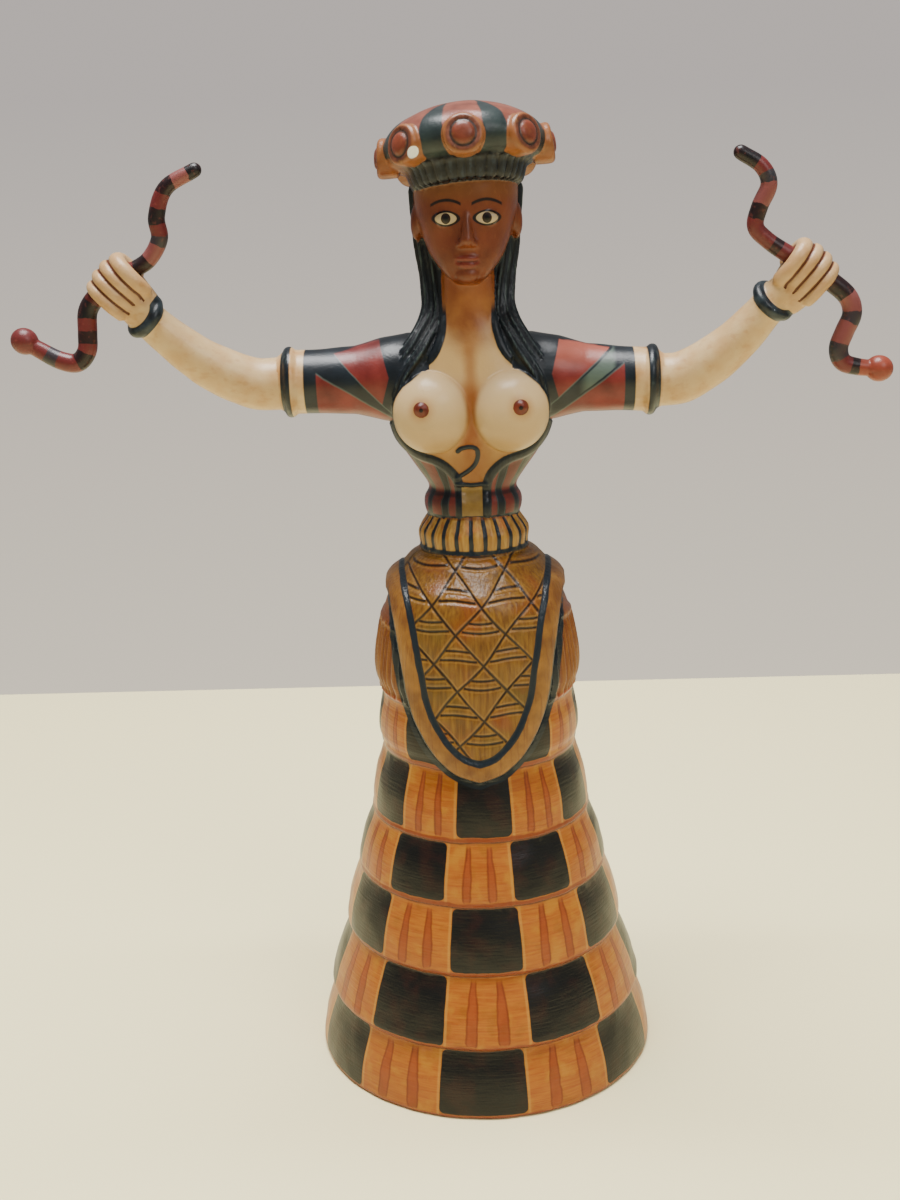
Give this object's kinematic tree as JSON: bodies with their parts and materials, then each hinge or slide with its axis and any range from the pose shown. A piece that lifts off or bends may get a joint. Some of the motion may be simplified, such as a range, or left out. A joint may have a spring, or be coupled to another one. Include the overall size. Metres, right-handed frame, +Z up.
{
  "type": "snake goddess figurine",
  "caption": "Painted plaster souvenir of an ancient goddess in a flounced skirt and apron, arms raised, holding a snake in each fist; it stands on its hem.",
  "frame": {"origin": "middle of the hem's flat underside", "axes": "+Z up the figure, which faces -Y; +X to the right of a viewer in front of it"},
  "size_m": [0.2546, 0.108, 0.295],
  "materials": {
    "painted_plaster": "hand-painted plaster in ochre, dark brown, slate and cream under a thin satin varnish, with small white chips",
    "painted_snake": "brick red and pink paint with slate bands under a thin satin varnish"
  },
  "bodies": {
    "root": {"figurine": "painted_plaster", "snake_left": "painted_snake", "snake_right": "painted_snake"}
  },
  "joints": []
}
